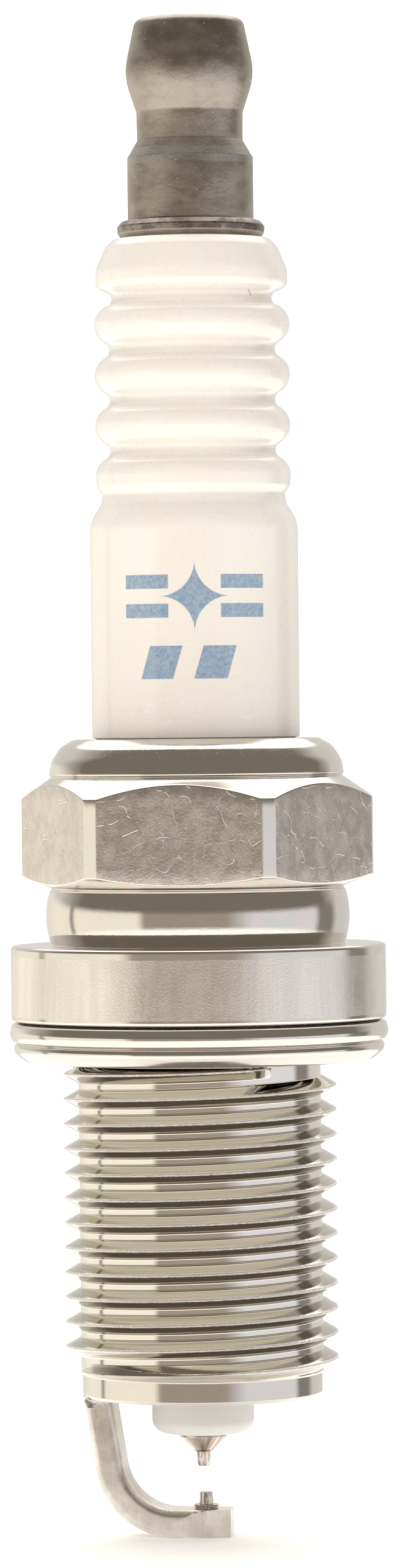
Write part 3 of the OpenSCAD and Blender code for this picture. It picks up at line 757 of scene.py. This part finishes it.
def metal_shell():
    materials = [
        plated("plate_lip", 0.08, 0.03, grain=(6, 6, 6), grain_depth=0.003, speckle=0.8),
        plated("plate_cones", 0.14, 0.03, grain=(3, 3, 14), grain_depth=0.001, speckle=0.3),
        hex_plate(),
        plated("plate_waist", 0.07, 0.025, grain=(3, 3, 10), grain_depth=0.001, speckle=0.7),
        turned_ring(),
        thread_plate(),
        plated("plate_pilot", 0.08, 0.03, grain=(9, 9, 2), grain_depth=0.001, speckle=0.8),
        plated("plate_bore", 0.3, 0.05, grain=(5, 5, 9), grain_depth=0.006, speckle=0.2),
    ]
    rings = Rings(shell_angles())
    lip = rounded([
        (MOUTH_R, LIP_TOP - 0.5, 0), (MOUTH_R, LIP_TOP - 0.02, 0.12), (6.2, LIP_TOP, 0.5), (6.86, 13.81, 0.9),
        (7.34, 13.09, 1.0), (7.45, 12.41, 0.12), (COLLAR_R - 0.07, HEX_TOP + 0.05, 0.03),
        (COLLAR_R + 0.04, HEX_TOP - 0.02, 0)], step=6)
    mouth = rings.ring(*lip[0])
    last = rings.chain(lip[1:], LIP, mouth)
    last = hexagon_rings(rings, last)
    waist_half = (HEX_LOW - RING_H) / 2
    out = WAIST_R - COLLAR_R
    waist_arc = (waist_half ** 2 + out ** 2) / (2 * out)
    spread = math.degrees(math.asin(waist_half / waist_arc))
    last = rings.chain(rounded([
        (COLLAR_R + 0.1, low_cone_z(COLLAR_R + 0.1), 0), (COLLAR_R - 0.05, HEX_LOW - 0.03, 0.03),
        (COLLAR_R + 0.03, HEX_LOW - 0.16, 0)]), CONE, last)
    bulge = arc(WAIST_R - waist_arc, HEX_LOW - waist_half, waist_arc, spread * 0.88, -spread * 0.93, 22)
    last = rings.chain(bulge, WAIST, last)
    last = rings.chain(rounded([
        (COLLAR_R + 0.02, RING_H + 0.1, 0), (COLLAR_R - 0.02, RING_H - 0.02, 0.05),
        (7.8, RING_H - 0.02, 0.05), (RING_R - 0.3, RING_H, 0)]), WAIST, last)
    last = rings.chain(rounded([
        (RING_R - 0.28, RING_H, 0), (RING_R, RING_H, 0.2), (RING_R, RING_H - 0.5, 0)]), CONE, last)
    rim = [(RING_R, RING_H * share) for share in (0.8, 0.65, 0.5, 0.35, 0.2)]
    last = rings.chain(rim + [(RING_R, 0.3)], RING, last)
    last = rings.chain(rounded([(RING_R, 0.29, 0), (RING_R, 0, 0.2), (RING_R - 0.3, 0, 0)]), CONE, last)
    strip_top, strip_low = -1.45, -17.8
    last = rings.chain(rounded([
        (NECK_R + 0.5, 0, 0), (NECK_R, 0, 0.1), (NECK_R, strip_top + 0.2, 0),
        (ROOT_R, strip_top, 0)]), THREAD, last)
    thread_strip(rings, strip_top, strip_low)
    tail = rings.ring(ROOT_R, strip_low)
    last = rings.chain([
        (PILOT_R, strip_low - 0.06), (PILOT_R, strip_low - 0.09), (PILOT_R, -18.3),
        (PILOT_R, -18.6)], PILOT, tail)
    last = rings.chain(rounded([
        (PILOT_R, SHELL_END + 0.3, 0), (PILOT_R, SHELL_END + 0.16, 0.05), (PILOT_R - 0.16, SHELL_END, 0.05),
        (5.2, SHELL_END, 0), (GAS_BORE_R, SHELL_END, 0.08), (GAS_BORE_R, SHELL_END + 0.5, 0)]), PILOT, last)
    last = rings.chain(rounded([
        (GAS_BORE_R, SHELL_END + 0.6, 0), (GAS_BORE_R, -11.4, 0.1), (LEDGE_R, -10.6, 0.1),
        (LEDGE_R, -9.12, 0.1), (BODY_BORE_R, -8.1, 0.1), (BODY_BORE_R, 1.47, 0.1), (PACKING_BORE_R, 2.9, 0.1),
        (PACKING_BORE_R, 12.87, 0.2), (MOUTH_R, 13.21, 0)]), BORE, last)
    rings.join(last, mouth, LIP)
    shell = add_mesh("shell", rings.verts, rings.faces, rings.regions, materials, sharp=50)
    return place(shell, "root", "plated_steel", "metal_shell")


# ---------- Gasket ----------

def gasket():
    """Folded washer: two rolls with a slit between them, closed at the hole."""
    top, bottom, r = GASKET_TOP, GASKET_LOW, GASKET_R
    hole_r = 6.65
    outline = rounded([
        (hole_r, top - 0.6, 0), (hole_r, top, 0.12), (r - 0.38, top, 0.2), (r - 0.1, top - 0.08, 0.2),
        (r + 0.03, top - 0.6, 0.55), (r - 0.12, top - 0.94, 0.1), (r - 0.5, top - 1.0, 0.06),
        (r - 0.5, top - 1.08, 0.03), (r - 0.26, top - 1.1, 0.08), (r - 0.17, top - 1.35, 0.3),
        (r - 0.3, bottom + 0.45, 0.5), (r - 0.75, bottom + 0.07, 0.5), (r - 1.3, bottom, 0.5),
        (7.2, bottom, 0.4), (hole_r, bottom + 0.4, 0.3), (hole_r, bottom + 0.62, 0)], step=6)
    steel = plated("gasket_plate", 0.09, 0.03, grain=(3, 3, 8), grain_depth=0.001, speckle=0.25)
    piece = lathe("gasket_ring", outline, [steel], closed=True, sharp=55)
    return place(piece, "gasket", "gasket_steel", "gasket")


# ---------- Terminal ----------

def terminal():
    t, foot = TERMINAL_TOP, INSULATOR_TOP
    outline = rounded([
        (0, t, 0), (1.6, t - 0.01, 3.0), (2.72, t - 0.08, 0.5), (3.31, t - 2.915, 3.1), (2.69, t - 4.8, 0.5),
        (2.66, t - 6.22, 0.06), (3.175, t - 7.1, 0.07), (3.175, foot + 0.98, 0.03), (3.5, foot + 0.88, 0.14),
        (3.725, foot + 0.62, 0.14), (3.7, foot + 0.28, 0.2), (3.5, foot, 0.04), (1.8, foot, 0.05),
        (1.8, 14, 0.1), (1.5, 12.5, 0.1)], step=6)
    for i in range(5):
        z = 11.8 - 0.9 * i
        outline += [(1.5, z + 0.17), (1.35, z), (1.5, z - 0.17)]
    outline += [(1.5, 7.6), (0, 7.6)]
    piece = lathe("terminal", outline, [terminal_metal()], sharp=45)
    return place(piece, "root", "terminal_steel", "terminal_stud")


# ---------- Insulator ----------

def rib_outline():
    """Outline from the top face to the barrel: a domed top rib, three ribs and their grooves, a shoulder."""
    depth = RIB_R - GROOVE_R
    arc_sum = ((RIB_PITCH / 2) ** 2 + depth ** 2) / (2 * depth)
    rib_arc = arc_sum - GROOVE_ARC_R
    lean = math.degrees(math.asin(RIB_PITCH / 2 / arc_sum))
    top = INSULATOR_TOP
    points = rounded([(2.2, top, 0), (3.95, top, 0.25), (4.35, top - 0.4, 0.9), (4.84, top - 1.55, 0.9),
                      (4.86, top - 2.4, 0.45), (4.28, top - 2.67, 0.2)], step=5)[:-1]
    points += arc(4.05 + 0.4, LOWEST_GROOVE + 3 * RIB_PITCH, 0.4, 118, 228, 9)
    for i in (2, 1, 0):
        crest = LOWEST_GROOVE + (i + 0.5) * RIB_PITCH
        points += arc(RIB_R - rib_arc, crest, rib_arc, lean * 0.97, -lean * 0.97, 18)
        points += arc(GROOVE_R + GROOVE_ARC_R, LOWEST_GROOVE + i * RIB_PITCH, GROOVE_ARC_R,
                      180 - lean * 0.97, 180 + lean * 0.97, 12)
    crest = LOWEST_GROOVE - RIB_PITCH / 2
    points += arc(RIB_R - rib_arc, crest, rib_arc, lean * 0.97, -2, 10)
    points += rounded([(4.9, 27.19, 0), (4.88, 26.91, 0.35), (4.61, 26.51, 0.3), (4.7, 26.01, 0.5),
                       (BARREL_R, 25.14, 1.6), (BARREL_R, 24.2, 0)], step=5)
    return points


def insulator():
    tip = NOSE_TIP
    outline = rib_outline() + rounded([
        (BARREL_R, 24.0, 0), (BARREL_R, 19.0, 0), (BARREL_R, LIP_TOP + 0.05, 0.02),
        (BARE_BARREL_R, LIP_TOP + 0.02, 0.02), (BARE_BARREL_R, 9.0, 0.1), (SHOULDER_R, 8.1, 0.1),
        (SHOULDER_R, 3.3, 0.1), (LOWER_BODY_R, 2.05, 0.1), (LOWER_BODY_R, -7.6, 0.1), (3.3, -8.8, 0.1),
        (NOSE_R, -17, 0.1), (NOSE_R, tip, 0.7), (CORE_BORE_R, tip, 0.04), (CORE_BORE_R, -5.4, 0.05),
        (STUD_BORE_R, -4.7, 0.05), (STUD_BORE_R, INSULATOR_TOP, 0.05), (2.2, INSULATOR_TOP, 0)], step=6)
    piece = lathe("ceramic_body", outline, [ceramic(), ceramic(glazed=False)],
                  region_of=lambda r, z: 0 if z > LIP_TOP - 0.5 and r > 2.1 else 1, sharp=50)
    return place(piece, "root", "glazed_ceramic", "insulator")


# ---------- Electrodes ----------

BAR_T = 1.4
BAR_W = 2.7
BAR_EDGE = 0.36
BAR_TURN = -7
LEG_LEAN = 9
BEND_R = 3.4
BEND_X = -1.31
BAR_TIP_X = 1.43
BAR_CUT_X = -0.87
BAR_TIP_W = 1.4


def bar_path():
    """Centre line of the ground electrode as (x, z, angle of travel in degrees) from the shell to the tip."""
    bend_z = BAR_LOW + BEND_R + BAR_T / 2
    start = 180 + LEG_LEAN
    lean = math.radians(LEG_LEAN)
    path = []
    rise = (SHELL_END + 0.12 - bend_z + BEND_R * math.sin(lean)) / math.cos(lean)
    for i in range(13):
        back = rise * (1 - i / 12)
        a = math.radians(start)
        x = BEND_X + BEND_R * math.cos(a) - back * math.sin(lean)
        z = bend_z + BEND_R * math.sin(a) + back * math.cos(lean)
        path.append((x, z, start + 90))
    for i in range(1, 41):
        angle = start + (270 - start) * i / 40
        a = math.radians(angle)
        path.append((BEND_X + BEND_R * math.cos(a), bend_z + BEND_R * math.sin(a), angle + 90))
    for i in range(1, 25):
        path.append((BEND_X + (BAR_TIP_X - BEND_X) * i / 24, BAR_LOW + BAR_T / 2, 360))
    return path


def bar_half_width(x):
    """Half the width the ground tip leaves at x."""
    if x <= BAR_CUT_X:
        return BAR_W / 2
    share = (x - BAR_CUT_X) / (BAR_TIP_X - BAR_CUT_X)
    return (BAR_W + (BAR_TIP_W - BAR_W) * share) / 2


def bar_section(n=6):
    """Rounded section as (across thickness, across width) pairs."""
    points = []
    for sx, sy, start in ((1, 1, 0), (-1, 1, 90), (-1, -1, 180), (1, -1, 270)):
        cx, cy = sx * (BAR_T / 2 - BAR_EDGE), sy * (BAR_W / 2 - BAR_EDGE)
        points += arc(cx, cy, BAR_EDGE, start, start + 90, n)
    dense = []
    for i, (u, v) in enumerate(points):
        u2, v2 = points[(i + 1) % len(points)]
        parts = 6 if math.hypot(u2 - u, v2 - v) > 0.4 else 1
        dense += [(u + (u2 - u) * k / parts, v + (v2 - v) * k / parts) for k in range(parts)]
    return dense


def ground_electrode():
    """Bar welded to the shell's end, bent under the centre pin, its tip ground to a wedge."""
    section = bar_section()
    verts, faces, regions = [], [], []
    turn = math.radians(BAR_TURN)
    path = bar_path()
    for i, (x, z, angle) in enumerate(path):
        a = math.radians(angle)
        near_weld = max(0.0, 1 - (SHELL_END - z) / 0.35)
        for u, v in section:
            flare = 1 + 0.05 * near_weld * near_weld
            px = x - u * flare * math.sin(a)
            pz = z + u * flare * math.cos(a)
            limit = bar_half_width(px) if pz < BAR_LOW + 2.2 else BAR_W
            py = max(-limit, min(limit, v * flare))
            verts.append((
                px * math.cos(turn) - py * math.sin(turn), px * math.sin(turn) + py * math.cos(turn), pz))
    n = len(section)
    for i in range(len(path) - 1):
        region = 1 if path[i][1] > SHELL_END - 0.3 else 0
        for k in range(n):
            m = (k + 1) % n
            faces.append((i * n + k, i * n + m, (i + 1) * n + m, (i + 1) * n + k))
            regions.append(region)
    faces += [tuple(range(n)), tuple((len(path) - 1) * n + k for k in range(n))]
    regions += [1, 0]
    piece = add_mesh("ground_strap", verts, faces, regions, [bar_metal(), weld_metal()], sharp=28)
    return place(piece, "root", "nickel_alloy", "ground_electrode")


def ground_pin():
    """Pin and its welded collar on the ground electrode."""
    turn = math.radians(BAR_TURN)
    x = 0.12
    centre = (x * math.cos(turn), x * math.sin(turn))
    metal = pin_metal()
    base = low("ground_tip_base")
    collar = lathe("ground_pin_collar", rounded([
        (0, GROUND_TIP_FOOT, 0), (0.6, GROUND_TIP_FOOT + 0.01, 0.05), (0.64, GROUND_TIP_FOOT - 0.1, 0.04),
        (0.58, GROUND_TIP_FOOT - 0.15, 0.03), (0.62, base, 0.02), (0, base, 0)]),
        [metal], segments=64, centre=centre, sharp=50)
    place(collar, "root", "precious_alloy", "ground_tip_base")
    pin = lathe("ground_pin", rounded([
        (0, GROUND_TIP_TOP, 0), (0.33, GROUND_TIP_TOP, 0.025), (0.35, GROUND_TIP_FOOT + 0.28, 0.5),
        (0.3675, GROUND_TIP_FOOT, 0), (0, GROUND_TIP_FOOT, 0)]),
        [metal], segments=64, centre=centre, sharp=50)
    place(pin, "root", "precious_alloy", "ground_tip")
    return metal


def centre_electrode(metal):
    """Sheath with its ground cone, and the pin welded to it."""
    cone_top, cone_low = NOSE_TIP - 0.19, high("centre_tip")
    outline = rounded([
        (0, -3.6, 0), (1.6, -3.6, 0.05), (1.9, -4.0, 0.05), (1.9, -4.78, 0.05), (1.21, -5.47, 0.05),
        (1.21, cone_top, 0.04), (0.46, cone_low + 0.02, 0.06), (0.42, cone_low, 0.01), (0, cone_low, 0)])
    body = lathe("centre_sheath", outline, [cone_metal()], segments=96, sharp=50)
    place(body, "root", "nickel_alloy", "centre_electrode")
    pin = lathe("centre_pin", rounded([
        (0, cone_low, 0), (0.37, cone_low, 0.02), (0.35, cone_low - 0.28, 0.4), (0.29, CENTRE_TIP, 0.02),
        (0, CENTRE_TIP, 0)]), [metal], segments=64, sharp=50)
    place(pin, "root", "precious_alloy", "centre_tip")


def dress_inner_nodes():
    """Materials for the sealed pieces that keep their CAD shape."""
    copper = plain_inner("copper_core", (0.55, 0.27, 0.16), (0.80, 0.47, 0.31), 1.0, 0.3, 5, 0.004)
    glass = plain_inner("seal_glass", (0.10, 0.08, 0.07), (0.30, 0.22, 0.17), 0.4, 0.45, 7, 0.01)
    carbon = plain_inner("resistor_mix", (0.05, 0.05, 0.05), (0.14, 0.135, 0.13), 0.0, 0.6, 9, 0.01)
    steel = plain_inner("packing_steel", (0.42, 0.41, 0.40), (0.60, 0.59, 0.57), 1.0, 0.35, 6, 0.006)
    talc = plain_inner("talc_powder", (0.74, 0.73, 0.68), (0.88, 0.87, 0.83), 0.0, 0.85, 12, 0.02)
    wear = {
        "centre_electrode_core": copper, "front_glass_seal": glass, "rear_glass_seal": glass,
        "resistor": carbon, "upper_packing_ring": steel, "lower_packing_ring": steel, "seat_washer": steel,
        "talc_fill": talc}
    for name, material in wear.items():
        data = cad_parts[name].data
        data.materials.clear()
        data.materials.append(material)


# ---------- Stage ----------

def studio_world():
    """Plain soft studio: a soft box on each side, a dark front, narrow dark flags, bright above and below."""
    world = bpy.data.worlds.new("studio")
    bpy.context.scene.world = world
    world.use_nodes = True
    g = Graph(world.node_tree)
    direction = g.node("ShaderNodeTexCoord").outputs["Generated"]
    parts = g.node("ShaderNodeSeparateXYZ", Vector=direction)
    x, y, z = parts.outputs
    azimuth = g.math("MULTIPLY", g.math("ARCTAN2", x, g.math("MULTIPLY", y, -1.0)), 180 / math.pi)
    level = g.math("MULTIPLY", g.math("ARCSINE", z), 180 / math.pi)
    turn = g.span(azimuth, -180, 180, smooth=False)
    back, left_box, right_box = (0.66, 0.64, 0.60), (1.0, 0.95, 0.82), (0.76, 0.76, 0.80)
    front, flag = (0.38, 0.33, 0.27), (0.24, 0.23, 0.21)
    low = g.ramp(turn, [
        (-180, back), (-135, left_box), (-116, left_box), (-112, flag), (-107, left_box), (-47, left_box),
        (-41, front), (22, front), (42, right_box), (100, right_box), (107, flag), (122, flag), (131, back),
        (180, back)])
    dim = (0.2, 0.18, 0.145)
    high_up = g.ramp(turn, [(-180, back), (-135, back), (-102, dim), (112, dim), (135, back), (180, back)])
    colour = g.mix(g.span(level, 3, 10), low, high_up)
    colour = g.mix(g.span(level, -17, -11, 1.0, 0.0), colour, (1.3, 1.26, 1.18))
    panel = math.radians(65)
    towards = g.node("ShaderNodeVectorMath")
    towards.operation = "DOT_PRODUCT"
    g.plug(towards.inputs[0], direction)
    g.plug(towards.inputs[1], (0.0, math.cos(panel), math.sin(panel)))
    colour = g.mix(g.span(towards.outputs["Value"], 0.73, 0.83), colour, (2.0, 1.97, 1.9))
    seen_directly = g.node("ShaderNodeLightPath").outputs["Is Camera Ray"]
    colour = g.mix(seen_directly, colour, (1.3, 1.3, 1.3))
    background = g.tree.nodes["Background"]
    g.plug(background.inputs["Color"], colour)
    background.inputs["Strength"].default_value = 1.12


def front_lamp():
    """Large soft lamp above the camera; it lights the ceramic and floor but is not mirrored in the metal."""
    data = bpy.data.lights.new("front_lamp", "AREA")
    data.shape = "DISK"
    data.size = 0.3
    data.energy = 0.72
    data.color = (1.0, 0.975, 0.94)
    lamp = bpy.data.objects.new("front_lamp", data)
    lamp.location = (-0.05, -0.36, 0.24)
    lamp.rotation_euler = (Vector((0, 0, 0.02)) - lamp.location).to_track_quat("-Z", "Y").to_euler()
    lamp.visible_glossy = False
    lamp.visible_camera = False
    bpy.context.scene.collection.objects.link(lamp)


def floor():
    """Pale disc at the lowest point of the plug, mostly behind it."""
    z, radius, thickness, setback = BAR_LOW, 44, 1, 20
    outline = [(0, z), (10, z), (20, z), (32, z), (radius, z), (radius + 0.5, z - thickness / 2),
               (radius, z - thickness), (0, z - thickness)]
    disc = lathe("floor", outline, [floor_paper()], segments=96, centre=(0, setback))


def camera():
    """About level with the shell's lip, looking along +Y and a little down, with a slight roll."""
    distance, height, aside = 340, 15.2, 0.35
    tilt_down, roll = math.radians(0.56), math.radians(-0.6)
    data = bpy.data.cameras.new("camera")
    data.sensor_width = 36
    data.lens = 154.43
    data.clip_start = 0.01
    eye = bpy.data.objects.new("camera", data)
    eye.location = Vector((aside, -distance, height)) * MM
    look = Matrix.Rotation(math.pi / 2 - tilt_down, 4, "X") @ Matrix.Rotation(roll, 4, "Z")
    eye.rotation_euler = look.to_euler()
    bpy.context.scene.collection.objects.link(eye)
    bpy.context.scene.camera = eye


metal_shell()
gasket()
terminal()
insulator()
ground_electrode()
centre_electrode(ground_pin())
dress_inner_nodes()
studio_world()
front_lamp()
floor()
camera()
bpy.context.scene.view_settings.view_transform = "Standard"
